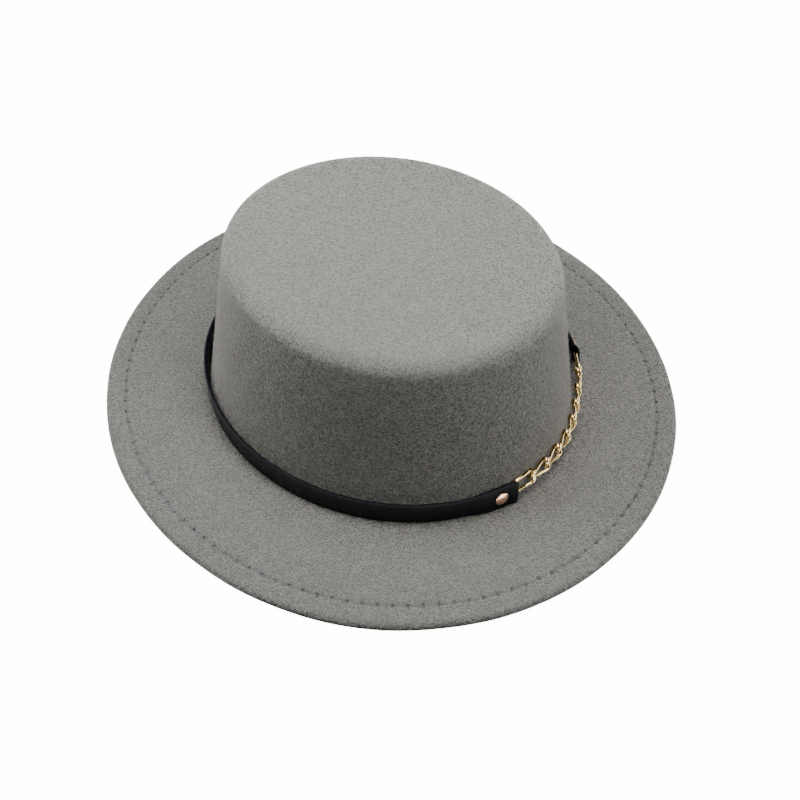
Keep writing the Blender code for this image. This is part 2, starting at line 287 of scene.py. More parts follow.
def wall_half(felt, height):
    """Half length and half width of the crown's outer wall at a height: a straight blend from foot to top."""
    up = (height - felt.brim_rise) / (felt.height - felt.brim_rise)
    return blend(felt.crown_length, felt.top_length, up) / 2, blend(felt.crown_width, felt.top_width, up) / 2


def rounded(felt, radius, out, top, angles):
    """Rings of a quarter circle from the top down to the wall: in by r (1 - cos), down by r (1 - sin)."""
    height = top - radius * (1 - np.sin(angles))
    half_length, half_width = wall_half(felt, height)
    inward = out - radius * (1 - np.cos(angles))
    return beside(half_length + inward, half_width + inward, height)


def wall_rings(felt, out, heights):
    """Rings up or down the straight wall."""
    half_length, half_width = wall_half(felt, heights)
    return beside(half_length + out, half_width + out, heights)


def edge_rings(felt, insets, heights):
    """Rings this far inside the brim's edge."""
    return beside(felt.brim_length / 2 - insets, felt.brim_width / 2 - insets, heights)


def brim_top(felt, stitches, inset):
    """Height of the brim's top: it rises evenly to the hem, and swells a little between stitches and edge."""
    outer = felt.edge * 0.93
    reach = (felt.brim_width - felt.crown_width) / 2
    rise = blend(felt.brim_rise, outer, np.clip((reach - inset) / (reach - 1.45 * stitches.inset), 0, 1))
    swell = (felt.edge - outer) * ease((stitches.inset - inset) / (0.5 * stitches.inset))
    return rise + swell


def felt_profile(felt, stitches):
    """Rings from the middle of the top, down the outside, round the edge and up the inside. Each row is half
    length, half width and height. A second array holds how far in from the edge each ring lies, or -1."""
    quarter = np.linspace(math.pi / 2, 0, 10)
    top = rounded(felt, felt.rounding, 0, felt.height, quarter)
    disc = top[0] * np.array([1, 1, 0]) * np.array([0.15, 0.35, 0.55, 0.72, 0.86, 0.95])[:, None]
    disc[:, 2] = felt.height
    foot = 0.0006
    down = wall_rings(felt, 0, np.linspace(top[-1, 2], felt.brim_rise + foot, 11)[1:])
    turn_out = np.linspace(0, math.pi / 2, 4)[1:]
    corner = wall_rings(felt, foot * (1 - np.cos(turn_out)), felt.brim_rise + foot * (1 - np.sin(turn_out)))
    reach = (felt.brim_width - felt.crown_width) / 2 - foot
    wide = reach - stitches.inset
    shares = np.array([0.93, 0.8, 0.66, 0.52, 0.38, 0.26, 0.17, 0.11, 0.075])
    near = 0.001 * np.array([2.2, 1.6, 1.1, 0.7, 0.35, 0, -0.35, -0.7, -1.1, -1.6, -2.2])
    outer = blend(stitches.inset - 0.003, felt.edge / 2, np.array([0, 0.25, 0.5, 0.75]))
    insets = np.concatenate([stitches.inset + wide * shares, stitches.inset + near, outer])
    brim = brim_rings(felt, insets, brim_top(felt, stitches, insets))
    half_turn = np.linspace(math.pi / 2, -math.pi / 2, 21)
    radius = felt.edge / 2
    crease = 0.00045 * bump_at(half_turn, -0.42, 0.22)
    edge_insets = radius * (1 - np.cos(half_turn)) + crease
    edge = edge_rings(felt, edge_insets, radius * (1 + np.sin(half_turn)))
    lip = 0.0005
    hem_top = felt.edge * 0.93 - felt.thickness
    under_insets = np.concatenate([blend(radius, felt.hem - lip, np.linspace(0.12, 1, 9)),
                                   [felt.hem - lip / 4, felt.hem, felt.hem, felt.hem]])
    under_heights = np.concatenate([np.zeros(9), [lip / 5, lip, hem_top * 0.6, hem_top]])
    under = edge_rings(felt, under_insets, under_heights)
    inner_foot = foot + felt.thickness
    low = felt.brim_rise - felt.thickness
    turn_in = np.linspace(math.pi / 2, 0, 6)
    inner_corner = wall_rings(felt, inner_foot * (1 - np.cos(turn_in)) - felt.thickness,
                              low + inner_foot * (1 - np.sin(turn_in)))
    span = np.linspace(0, 1, 7)[1:-1, None]
    underside = blend(under[-1], inner_corner[0], span)
    inner_radius = felt.rounding - felt.thickness
    inner_top = rounded(felt, inner_radius, -felt.thickness, felt.height - felt.thickness, quarter[::-2])
    inner_wall = wall_rings(felt, -felt.thickness, np.linspace(inner_corner[-1, 2], inner_top[0, 2], 7)[1:-1])
    inner_disc = inner_top[-1] * np.array([1, 1, 0]) * np.array([0.85, 0.6, 0.3])[:, None]
    inner_disc[:, 2] = felt.height - felt.thickness
    parts = [disc, top, down, corner, brim, edge, under,
             underside, inner_corner, inner_wall, inner_top, inner_disc]
    marks = [np.full(len(part), -1.0) for part in parts]
    marks[4] = insets
    marks[5] = edge_insets
    marks[6] = under_insets
    return np.concatenate(parts), np.concatenate(marks)


def brim_rings(felt, insets, heights):
    """Rings of the brim's top. From the edge inwards its oval turns into that of the crown's foot."""
    outer = edge_rings(felt, insets, heights)
    reach = (felt.brim_width - felt.crown_width) / 2
    stray = (felt.brim_length - felt.crown_length) / 2 - reach
    outer[:, 0] -= stray * np.clip(insets / reach, 0, 1)
    return outer


def round_lengths(half_length, half_width, turns):
    """Distance along an oval, from its first turn on: sums of short chords."""
    x, y = half_width * np.cos(turns), half_length * np.sin(turns)
    steps = np.hypot(np.diff(x, append=x[:1]), np.diff(y, append=y[:1]))
    return np.concatenate([[0], np.cumsum(steps)])


def seam_lengths(felt, stitches, turns):
    """Distance along the oval of the stitches."""
    return round_lengths(felt.brim_length / 2 - stitches.inset, felt.brim_width / 2 - stitches.inset, turns)


def stitch_count(felt, stitches):
    """How many whole stitches fit on their oval, and the way round it."""
    around = seam_lengths(felt, stitches, circle(2000))[-1]
    return int(round(around / stitches.pitch)), around


def waves(turns, seed, orders):
    """A sum of sines round the oval, each of a seeded size and start, and at most about one in height."""
    dice = np.random.default_rng(seed)
    sizes = dice.uniform(0.5, 1.0, len(orders)) / np.sqrt(np.array(orders, float))
    starts = dice.uniform(0, FULL, len(orders))
    total = sum(size * np.sin(order * turns + start) for size, order, start in zip(sizes, orders, starts))
    return total / sizes.sum()


def edge_nearness(inset):
    """One at the brim's edge, and falling off inwards."""
    return np.exp(-np.clip(inset, 0, 1) / 0.02)


def edge_sway(felt, turns, inset):
    """How far the brim's edge strays outwards here."""
    return felt.waviness * waves(turns, 3, (3, 4, 5, 7, 9, 12, 17, 23)) * edge_nearness(inset)


def edge_lift(felt, turns, inset):
    """How far the brim's top stands up here."""
    return felt.waves * (1 + waves(turns, 8, (2, 3, 5, 8, 13))) * edge_nearness(inset)


def felt_surface(felt, stitches, columns):
    """Points of the felt: x is half width times cos u, y is half length times sin u, z the ring's height,
    each ring moved by the edge's waves and by the groove and needle holes of the stitches. Also the count
    of stitches passed at each column, and the rings' insets."""
    rings, insets = felt_profile(felt, stitches)
    turns = circle(columns)
    along = seam_lengths(felt, stitches, turns)
    phase = along[:-1] / along[-1] * stitch_count(felt, stitches)[0]
    groove_width, hole_width, hole_length, most_bulge = 0.0011, 0.0007, 0.0008, 0.0007
    hole = np.abs((phase + 0.5) % 1 - 0.5) * stitches.pitch
    inset = insets[:, None]
    on_brim = inset >= 0
    groove = bump_at(inset, stitches.inset, groove_width) * on_brim
    pinch = bump_at(inset, stitches.inset, hole_width) * on_brim * bump_at(hole[None, :], 0, hole_length)
    sink = stitches.groove * groove * (0.75 + 0.2 * np.cos(FULL * phase)) + stitches.groove * 0.9 * pinch
    sway = np.where(on_brim, edge_sway(felt, turns[None, :], inset), 0)
    height = rings[:, 2:3]
    below = (height < felt.edge * 0.3) & on_brim
    lift = np.where(on_brim, edge_lift(felt, turns[None, :], inset), 0) * height / felt.edge
    bulge = most_bulge * waves(turns, 5, (2, 3, 4, 6, 9))[None, :] * ease(height / felt.height)
    dent = np.where(on_brim, 0, bulge * ease(rings[:, 1:2] / (felt.top_width / 2) - 0.5))
    x = (rings[:, 1:2] + sway + dent) * np.cos(turns)
    y = (rings[:, 0:1] + sway + dent) * np.sin(turns)
    z = height + np.where(below, sink, -sink) + lift
    return beside(x, y, z), phase, insets


def build_felt(felt, stitches):
    """The crown, brim and hem as one surface, closed at the middle of the top, outside and inside. Its UV
    holds the stitches passed and how far in from the edge a point lies."""
    columns = 880
    points, phase, insets = felt_surface(felt, stitches, columns)
    rows = len(points)
    flat = points.reshape(-1, 3)
    poles = np.array([[0, 0, felt.height], [0, 0, felt.height - felt.thickness]])
    flat = np.concatenate([flat, poles])
    quads = grid_faces(rows, columns)
    hubs = end_faces(rows, columns)
    mesh = new_mesh("hat_felt", flat, quads, hubs)
    passed = np.append(phase, stitch_count(felt, stitches)[0])
    row, column = np.divmod(np.arange(len(quads)), columns)
    across = np.where(insets < 0, 1.0, insets)
    corners = [(row + down, column + on) for down, on in ((1, 0), (1, 1), (0, 1), (0, 0))]
    spots = np.stack([beside(passed[c], across[r]) for r, c in corners], axis=1).reshape(-1, 2)
    spots = np.concatenate([spots, np.tile([0.5, 1.0], (hubs.size, 1))])
    mesh.uv_layers.new(name="hem").uv.foreach_set("vector", spots.astype(np.float32).ravel())
    return mesh


def build_nap(felt, stitches):
    """Loose fibres as slim closed spikes with three sides, scattered evenly over the felt's area by a seeded
    draw, and thinner inside the hat. Each starts just under the surface and leans out a way of its own."""
    outside_rows, inside_share = 0.68, 0.4
    least_lean, most_lean = 0.12, 0.75
    least_thick, most_thick, depth = 0.00005, 0.00010, 0.00012
    points, _, _ = felt_surface(felt, stitches, 440)
    after = np.roll(points, -1, axis=1)
    one, two, three = points[:-1], after[:-1], points[1:]
    normal = np.cross(three - one, two - one)
    area = np.linalg.norm(normal, axis=-1)
    outside = np.arange(len(area))[:, None] < len(area) * outside_rows
    odds = np.where(outside, area, inside_share * area).ravel()
    dice = np.random.default_rng(21)
    cell = np.searchsorted(np.cumsum(odds) / odds.sum(), dice.random(felt.fibres))
    cell = np.minimum(cell, odds.size - 1)
    one, two, three, normal = (part.reshape(-1, 3)[cell] for part in (one, two, three, normal))
    facing = unit(normal + 1e-12)
    share_a, share_b = dice.random((2, felt.fibres, 1))
    place = one + (two - one) * share_a + (three - one) * share_b
    level = unit(np.cross(facing, dice.normal(size=(felt.fibres, 3))))
    way = unit(level + facing * dice.uniform(least_lean, most_lean, (felt.fibres, 1)))
    side = np.cross(way, level)
    side = unit(np.where(np.linalg.norm(side, axis=-1, keepdims=True) > 1e-6, side, facing))
    other = np.cross(way, side)
    long = felt.fibre * dice.uniform(0.35, 1.0, (felt.fibres, 1))
    thick = dice.uniform(least_thick, most_thick, (felt.fibres, 1))
    root = place - facing * depth
    base = [root + thick * (np.cos(a) * side + np.sin(a) * other) for a in (0, FULL / 3, 2 * FULL / 3)]
    corners = np.stack([*base, root + way * long], axis=1).reshape(-1, 3)
    corners[:, 2] = np.maximum(corners[:, 2], 0)
    one_spike = np.array([[0, 1, 3], [1, 2, 3], [2, 0, 3], [2, 1, 0]])
    faces = copies(one_spike, felt.fibres, 4)
    return new_mesh("felt_nap", corners, np.zeros((0, 4), int), faces)


# Stitches

def build_stitches(felt, stitches, level, side):
    """Every stitch as a round thread: its line follows the oval, stands out furthest in its middle and dips
    into the felt at both ends. The height is the thread's radius times a low arch, less the dip. Side 1 is
    the brim's top and -1 the hem's underside."""
    count, around = stitch_count(felt, stitches)
    turns = np.linspace(0, FULL, 4000)
    lengths = seam_lengths(felt, stitches, turns[:-1])
    steps, sides = 11, 8
    span = np.linspace(-0.04, 1.04, steps)
    starts = np.arange(count)[:, None]
    dice = np.random.default_rng(11)
    stray = dice.normal(0, 0.00012, (count, 1)) * np.sin(math.pi * np.clip(span, 0, 1))[None, :]
    turn_here = np.interp((starts + span[None, :]) / count * around % around, lengths, turns)
    radius = stitches.thread / 2
    dip = 0.0009
    arch = np.clip(np.sin(math.pi * np.clip(span, 0, 1)), 0, 1) ** 0.35
    height = level + side * (radius * 0.7 * arch - dip * (1 - arch))
    inset = stitches.inset + stray
    sway = edge_sway(felt, turn_here, stitches.inset)
    lift = edge_lift(felt, turn_here, stitches.inset) * level / felt.edge
    half_width, half_length = felt.brim_width / 2 - inset + sway, felt.brim_length / 2 - inset + sway
    centre = beside(half_width * np.cos(turn_here), half_length * np.sin(turn_here), height[None, :] + lift)
    along = unit(np.gradient(centre, axis=1))
    across = unit(np.cross(along, np.array([0, 0, 1.0])))
    up = np.cross(across, along)
    points = tube(centre, across, up, radius, sides)
    quads = copies(grid_faces(steps, sides), count, steps * sides)
    column = np.arange(1, sides - 1)
    near = beside(0, column, column + 1)
    far = near[:, ::-1] + (steps - 1) * sides
    caps = copies(np.concatenate([near, far]), count, steps * sides)
    return points.reshape(-1, 3), quads, caps


# The line of strap and chain

class ChainLine:
    """The line round the crown at the strap's middle height, close to the wall, and standing off it near the
    strap's far end by a raised cosine."""

    def __init__(self, felt, strap, chain):
        self.centre = chain.centre
        middle = felt.brim_rise + 2 * chain.clearance + strap.height / 2
        self.middle = middle
        self.half_length, self.half_width = wall_half(felt, middle)
        rise = felt.height - felt.brim_rise
        self.length_slope = (felt.crown_length - felt.top_length) / 2 / rise
        self.width_slope = (felt.crown_width - felt.top_width) / 2 / rise
        fold = chain.wire / 2 + chain.wire_play + strap.tongue_thickness
        self.chain_out = max(chain.twist + chain.wire / 2, fold) + chain.clearance
        self.half_link = (chain.pitch + chain.wire + chain.link_play) / 2
        self.end_half_span = (chain.count - 1) / 2 * chain.pitch + self.half_link
        self.turns = self.centre + np.linspace(-math.pi, math.pi, 4001)
        point, level, normal = self.wall(self.turns)
        close = point + level * (self.chain_out / (normal * level).sum(-1))[:, None]
        away = np.abs(self.lengths(close) - self.end_half_span - strap.rivet_back)
        standoff = chain.standoff * (1 + np.cos(math.pi * np.minimum(away / chain.reach, 1))) / 2
        self.points = close + level * standoff[:, None]
        self.along = self.lengths(self.points)
        self.ways = np.gradient(self.points, axis=0)

    @staticmethod
    def lengths(points):
        """Distance along a line of points, counted from its middle point."""
        along = np.concatenate([[0], np.cumsum(np.linalg.norm(np.diff(points, axis=0), axis=1))])
        return along - along[len(along) // 2]

    def wall(self, turns):
        """Points of the wall, the level way out and the wall's normal at turns of the oval."""
        cosine, sine = np.cos(turns), np.sin(turns)
        point = beside(self.half_width * cosine, self.half_length * sine, self.middle)
        level = beside(cosine / self.half_width, sine / self.half_length, 0.0)
        lift = (cosine ** 2 * self.width_slope / self.half_width
                + sine ** 2 * self.length_slope / self.half_length)
        normal = level + lift[:, None] * np.array([0, 0, 1.0])
        return point, unit(level), unit(normal)

    def turn_at(self, distance):
        """Turns of the oval at distances along the line, from its middle towards its far end."""
        return np.interp(distance, self.along, self.turns)

    def read(self, rows, turns):
        """Rows of the line's vectors at turns of the oval."""
        wrapped = self.centre - math.pi + (turns - self.centre + math.pi) % FULL
        return np.stack([np.interp(wrapped, self.turns, column) for column in rows.T], axis=-1)

    def placed(self, turns, out, lean=1.0, rise=0.0):
        """Centres and ways along, up and out at turns of the line. Lean 1 follows the wall, 0 is upright."""
        turns, out, lean, rise = (np.atleast_1d(value).astype(float) for value in np.broadcast_arrays(
            turns, out, lean, rise))
        _, level, normal = self.wall(turns)
        along = unit(self.read(self.ways, turns))
        leaning = blend(level, normal, lean[:, None])
        facing = unit(leaning - along * (leaning * along).sum(-1, keepdims=True))
        up = np.cross(facing, along)
        centre = self.read(self.points, turns) + facing * (out - self.chain_out)[:, None] + up * rise[:, None]
        return centre, along, up, facing


# Strap

def upright_out(line, turns, strap, chain):
    """How far out the upright strap's middle runs, so that its lower edge clears the sloping wall."""
    _, level, normal = line.wall(np.atleast_1d(turns))
    across = (normal * level).sum(-1)
    level_out = normal[:, 2] / across * strap.height / 2 + chain.clearance + strap.thickness / 2
    return level_out + line.chain_out - line.chain_out / across


def held_out(line, side, chain):
    """How far out the wire that an end of the strap folds round lies at the strap's joint."""
    link, along, _, _ = line.placed(line.turn_at(side * (chain.count - 1) / 2 * chain.pitch), line.chain_out,
                                    rise=chain.rise)
    joint, _, _, facing = line.placed(line.turn_at(side * line.end_half_span), 0.0)
    return float(((link + side * line.half_link * along - joint) * facing).sum())


def end_stations(line, side, strap, chain):
    """Turns of the line, and stations of one strap end: the tongue from its tip to the fold, the half turn
    round the wire and the face past the rivet to where the strap runs upright. A station's columns are how
    far back it lies, how far out, the section's turn, height and thickness, its lean and its rise."""
    fold = chain.wire / 2 + chain.wire_play + strap.tongue_thickness / 2
    rivet_flat = strap.cap / 2
    clinch = 0.0004
    tongue_out = 2 * chain.clearance + clinch + strap.tongue_thickness / 2
    face_out = tongue_out + strap.tongue_thickness / 2 + chain.clearance + strap.thickness / 2
    wire_out = held_out(line, side, chain)
    last = line.turn_at(side * (line.end_half_span + strap.rivet_back + rivet_flat + strap.easing))
    upright = float(upright_out(line, last, strap, chain)[0])

    back = np.linspace(strap.rivet_back + strap.past_rivet, -strap.fold_slack, 22)[:-1]
    near = ease(back / (strap.rivet_back - rivet_flat))
    tongue = beside(back, blend(wire_out - fold, tongue_out, near), math.pi, strap.tongue_height,
                    strap.tongue_thickness, 1.0, blend(chain.rise, strap.rivet_rise, near))
    angle = np.linspace(math.pi, 0, 33)
    narrow = np.minimum((strap.fold_slack + fold * angle) / strap.shoulder, 1)
    wide = np.sqrt(1 - narrow ** 2)
    bend = beside(-strap.fold_slack - fold * np.sin(angle), wire_out + fold * np.cos(angle), angle,
                  blend(strap.tongue_height, strap.height, wide), strap.tongue_thickness, 1.0,
                  blend(chain.rise, 0, wide))
    back = np.linspace(0, strap.rivet_back + rivet_flat + strap.easing, 56)
    past = ease((back - strap.rivet_back - rivet_flat) / strap.easing)
    near = ease(back / (strap.rivet_back - rivet_flat))
    face = beside(back, blend(blend(wire_out + fold, face_out, near), upright, past), 0.0, strap.height,
                  blend(strap.tongue_thickness, strap.thickness, near), 1 - past, 0.0)
    stations = np.concatenate([tongue, bend, face])
    turns = line.turn_at(side * (line.end_half_span + stations[:, 0]))
    return turns, stations, last, face_out


def strap_section(points):
    """A rectangle with round corners, as shares: up and out of the middle, then the two corner offsets that
    the corner radius multiplies."""
    quarter = np.linspace(0, math.pi / 2, points)
    corners = ((1, 1, 0), (-1, 1, math.pi / 2), (-1, -1, math.pi), (1, -1, 3 * math.pi / 2))
    up = np.concatenate([np.full(points, a) for a, _, _ in corners])
    out = np.concatenate([np.full(points, b) for _, b, _ in corners])
    angle = np.concatenate([quarter + c for _, _, c in corners])
    return up, out, np.cos(angle), np.sin(angle)


def strap_points(line, turns, stations, side):
    """Points of the strap: each station's round-cornered section, turned about the up way by the station's
    angle and set this far out of the crown's line."""
    _, out, turned, height, thickness, lean, rise = stations.T
    centre, along, up_way, facing = line.placed(turns, out, lean, rise)
    away = facing * np.cos(turned)[:, None] - along * (side * np.sin(turned))[:, None]
    up, outwards, up_round, out_round = strap_section(5)
    radius = 0.42 * thickness
    high = up[None, :] * (height / 2 - radius)[:, None] + radius[:, None] * up_round[None, :]
    deep = outwards[None, :] * (thickness / 2 - radius)[:, None] + radius[:, None] * out_round[None, :]
    return centre[:, None] + high[..., None] * up_way[:, None] + deep[..., None] * away[:, None]


def build_strap(line, strap, chain):
    """The whole strip of leather, from one tongue's tip round the back of the crown to the other's."""
    near_turns, near, near_last, _ = end_stations(line, -1, strap, chain)
    far_turns, far, far_last, _ = end_stations(line, 1, strap, chain)
    around = np.linspace(near_last, far_last - FULL, 420)[1:-1]
    plain = beside(0.0, upright_out(line, around, strap, chain), 0.0, strap.height, strap.thickness, 0.0, 0.0)
    sections = np.concatenate([strap_points(line, near_turns, near, -1), strap_points(line, around, plain, 1),
                               strap_points(line, far_turns, far, 1)[::-1]])
    rows, columns = sections.shape[:2]
    ends = sections[[0, -1]].mean(axis=1)
    points = np.concatenate([sections.reshape(-1, 3), ends])
    quads = grid_faces(rows, columns)
    hubs = end_faces(rows, columns)
    return new_mesh("leather_strap", points, quads, hubs)


# Rivets

def build_rivet(name, line, side, strap, chain):
    """A rivet turned from its outline: a low dome whose rim rolls under, the shank and the clinched head."""
    _, _, _, face_out = end_stations(line, side, strap, chain)
    cap_out = face_out + strap.thickness / 2 + chain.clearance
    radius = strap.cap / 2
    roll = 0.00045
    dome = np.linspace(0, 1, 14)
    dome_r = dome * (radius - roll)
    crest = strap.cap_height - 2 * roll
    dome_z = 2 * roll + crest * np.sqrt(1 - (0.9 * dome) ** 2) - crest * math.sqrt(1 - 0.9 ** 2) * dome ** 2
    rim = np.linspace(math.pi / 2, -math.pi / 2, 11)[1:]
    rim_r = radius - roll + roll * np.cos(rim)
    rim_z = roll + roll * np.sin(rim)
    shank, clinch, clinch_height = 0.0013, 0.0021, 0.0004
    foot = chain.clearance - cap_out
    head = foot + clinch_height
    outline_r = np.concatenate([dome_r[1:], rim_r, [shank, shank, clinch, clinch]])
    outline_z = np.concatenate([dome_z[1:], rim_z, [0.0, head, head, foot]])
    ring = circle(48)
    place = line.turn_at(side * (line.end_half_span + strap.rivet_back))
    centre, along, up, facing = line.placed(place, cap_out, rise=strap.rivet_rise)
    across = np.cos(ring)[:, None] * along + np.sin(ring)[:, None] * up
    points = centre + outline_r[:, None, None] * across[None] + outline_z[:, None, None] * facing[None]
    poles = centre + np.array([[dome_z[0]], [foot]]) * facing
    rows, columns = points.shape[:2]
    quads = grid_faces(rows, columns)
    hubs = end_faces(rows, columns)
    return new_mesh(name, np.concatenate([points.reshape(-1, 3), poles]), quads, hubs)


# Chain

def link_line(line, chain, held, steps):
    """The wire's middle line in a link's own plane: x is half the length times (cos s - k cos 3s) / (1 - k),
    y half the width times (sin s + k sin 3s) / (1 - k), z minus the twist times sin 2s, faded at a held
    end."""
    s = circle(steps)
    k = chain.squareness
    half_width = ((chain.end_width if held else chain.width) - chain.wire) / 2
    free = ((1 - held * np.cos(s)) / 2) ** 2 if held else 1.0
    x = line.half_link * (np.cos(s) - k * np.cos(3 * s)) / (1 - k)
    y = half_width * (np.sin(s) + k * np.sin(3 * s)) / (1 - k)
    z = -chain.twist * np.sin(2 * s) * free
    return beside(x, y, z)


def build_link(name, line, chain, k):
    """A link: a round section carried along its closed line, its first way square to both the line and the
    link's own plane."""
    held = {0: -1, chain.count - 1: 1}.get(k, 0)
    steps, sides = 96, 16
    middle = link_line(line, chain, held, steps)
    way = unit(np.roll(middle, -1, 0) - np.roll(middle, 1, 0))
    side_way = unit(np.cross(way, np.array([0, 0, 1.0])))
    top_way = np.cross(side_way, way)
    local = tube(middle, side_way, top_way, chain.wire / 2, sides)
    distance = (k - (chain.count - 1) / 2) * chain.pitch
    centre, along, up, facing = line.placed(line.turn_at(distance), line.chain_out, rise=chain.rise)
    axes = np.concatenate([along, up, facing])
    points = centre + local.reshape(-1, 3) @ axes
    return new_mesh(name, points, grid_faces(steps, sides, close_rows=True))


# Materials

class Finish:
    """Helper that adds nodes to one material and links them."""

    def __init__(self, name):
        self.material = bpy.data.materials.new(name)
        self.material.use_nodes = True
        self.tree = self.material.node_tree
        self.shader = self.tree.nodes["Principled BSDF"]
        self.place = self.add("ShaderNodeTexCoord").outputs["Object"]

    def add(self, kind, **values):
        """A node of this kind. Values are its plain attributes."""
        node = self.tree.nodes.new(kind)
        for key, value in values.items():
            setattr(node, key, value)
        return node

    def feed(self, value, socket):
        """Links a socket to this one, or puts a plain value on it, a colour with its fourth number."""
        if isinstance(value, bpy.types.NodeSocket):
            self.tree.links.new(value, socket)
        elif socket.type == "RGBA":
            socket.default_value = (*tuple(value)[:3], 1)
        else:
            socket.default_value = value

    def noise(self, scale, detail=3.0, roughness=0.55, place=None):
        """A noise read at Object coordinates. Scale is per metre."""
        node = self.add("ShaderNodeTexNoise")
        node.inputs["Scale"].default_value = scale
        node.inputs["Detail"].default_value = detail
        node.inputs["Roughness"].default_value = roughness
        self.feed(place or self.place, node.inputs["Vector"])
        return node.outputs["Fac"]

    def stretched(self, scale):
        """Object coordinates stretched by this scale along each way."""
        node = self.add("ShaderNodeMapping")
        node.inputs["Scale"].default_value = scale
        self.feed(self.place, node.inputs["Vector"])
        return node.outputs["Vector"]

    def spread(self, value, low, high, start=0.0, end=1.0):
        """A value spread from its own low and high to a start and end, held between them."""
        node = self.add("ShaderNodeMapRange")
        for key, number in (("From Min", low), ("From Max", high), ("To Min", start), ("To Max", end)):
            node.inputs[key].default_value = number
        self.feed(value, node.inputs["Value"])
        return node.outputs["Result"]

    def mixed(self, factor, one, two):
        """A mix of two colours, each a colour or a socket."""
        node = self.add("ShaderNodeMix", data_type="RGBA")
        self.feed(factor, node.inputs["Factor"])
        for key, value in (("A", one), ("B", two)):
            self.feed(value, next(s for s in node.inputs if s.name == key and s.type == "RGBA"))
        return next(s for s in node.outputs if s.type == "RGBA")

    def reckon(self, operation, one, two):
        """One number worked out of two, each a number or a socket."""
        node = self.add("ShaderNodeMath", operation=operation)
        for socket, value in zip(node.inputs, (one, two)):
            self.feed(value, socket)
        return node.outputs[0]

    def raised(self, height, distance, strength=1.0, under=None):
        """A bump of this height, on top of another bump if one is given."""
        node = self.add("ShaderNodeBump")
        node.inputs["Distance"].default_value = distance
        node.inputs["Strength"].default_value = strength
        self.feed(height, node.inputs["Height"])
        if under:
            self.feed(under, node.inputs["Normal"])
        return node.outputs["Normal"]

    def set(self, **values):
        """Puts plain values, or sockets, on the shader. An underscore in a key stands for a space."""
        for key, value in values.items():
            self.feed(value, self.shader.inputs[key.replace("_", " ")])
        return self.material


SHEEN = {"Specular_IOR_Level": 0.0, "Sheen_Weight": 1.0, "Sheen_Roughness": 0.33,
         "Sheen_Tint": (0.97, 0.94, 0.88)}


def felt_finish(felt, stitches):
    """Brushed wool: broad soft clouds, small clumps of fibre and curled strands over them, in colour and in
    relief. A strand lies where a noise crosses its middle. Along the hem, painted shade darkens the needle
    holes almost to black and the groove of the stitches faintly."""
    made = Finish("grey_felt")
    clouds = made.noise(30, 3)
    clumps = made.noise(900, 2.5, 0.6)
    curls = made.reckon("ABSOLUTE", made.reckon("SUBTRACT", made.noise(650, 1.5, 0.6), 0.5), 0.0)
    strands = made.spread(curls, 0.0, 0.075, 1.0, 0.0)
    grain = made.reckon("ADD", made.reckon("MULTIPLY", clumps, 0.7), made.reckon("MULTIPLY", strands, 0.3))
    dark = tuple(0.72 * value for value in felt.base)
    fibres = made.mixed(made.spread(grain, 0.34, 0.72), dark, tuple(0.88 * value for value in felt.nap))
    soft = made.mixed(made.spread(clouds, 0.3, 0.7, 0.0, 0.16), fibres, felt.base)
    spot = made.add("ShaderNodeSeparateXYZ")
    made.feed(made.add("ShaderNodeUVMap", uv_map="hem").outputs["UV"], spot.inputs["Vector"])
    along = made.reckon("MULTIPLY", made.reckon("PINGPONG", spot.outputs["X"], 0.5), stitches.pitch)
    across = made.reckon("ABSOLUTE", made.reckon("SUBTRACT", spot.outputs["Y"], stitches.inset), 0.0)
    far = made.reckon("SQRT", made.reckon("ADD", made.reckon("MULTIPLY", along, along),
                                          made.reckon("MULTIPLY", across, across)), 0.0)
    # Painted shade: the felt round each needle hole is darkened almost to black, as shade inside the hole.
    hole = made.spread(far, 0.0006, 0.0015, 0.92, 0.0)
    # Painted shade: a faint dark line along the groove that the stitches pull into the felt.
    groove_shade = made.spread(across, 0.0003, 0.0009, 0.30, 0.0)
    # The felt's colour with the painted shade of the needle holes and the groove mixed towards near-black.
    felt_with_painted_shade = made.mixed(made.reckon("MAXIMUM", hole, groove_shade), soft, (0.03, 0.032, 0.034))
    relief = made.raised(grain, 0.0011, 0.95)
    return made.set(Base_Color=felt_with_painted_shade, Roughness=0.92, Normal=relief, **SHEEN)


def nap_finish(felt):
    """Single fibres, some light and some dark."""
    made = Finish("felt_fibres")
    kinds = made.spread(made.noise(700, 1), 0.40, 0.60)
    tone = made.mixed(kinds, tuple(felt.base), tuple(1.25 * value for value in felt.nap))
    return made.set(Base_Color=tone, Roughness=0.85, **SHEEN)


def thread_finish(stitches):
    """Twisted thread: its plies show as fine slanting bands."""
    made = Finish("hem_thread")
    plies = made.noise(2600, 1)
    light = tuple(min(1.0, 1.9 * value) for value in stitches.thread_colour)
    return made.set(Base_Color=made.mixed(made.spread(plies, 0.35, 0.65), stitches.thread_colour, light),
                    Roughness=0.7, Specular_IOR_Level=0.15, Normal=made.raised(plies, 0.00012))


def leather_finish(strap):
    """Smooth black leather with a fine pore grain, faint creases and a soft sheen."""
    made = Finish("black_leather")
    pores = made.noise(2300, 2, 0.5)
    creases = made.noise(260, 4, 0.65)
    worn = made.spread(creases, 0.35, 0.7, 0.36, 0.52)
    light = tuple(1.8 * value for value in strap.leather)
    tone = made.mixed(made.spread(creases, 0.3, 0.75), strap.leather, light)
    relief = made.raised(pores, 0.00008, 0.6, under=made.raised(creases, 0.0003, 0.35))
    return made.set(Base_Color=tone, Roughness=worn, Normal=relief, Specular_IOR_Level=0.09)


def metal_finish(name, base, roughness, wear):
    """Polished plate with faint smears and hairline scratches."""
    made = Finish(name)
    smears = made.noise(340, 3)
    lines = made.noise(90, 5, 0.7, made.stretched((1, 1, 9)))
    dull = tuple(0.80 * value for value in base)
    tone = made.mixed(made.spread(smears, 0.4, 0.75), base, dull)
    worn = made.spread(smears, 0.3, 0.7, roughness, roughness + wear)
    return made.set(Base_Color=tone, Metallic=1.0, Roughness=worn, Normal=made.raised(lines, 0.00002, 0.12))


# Stage

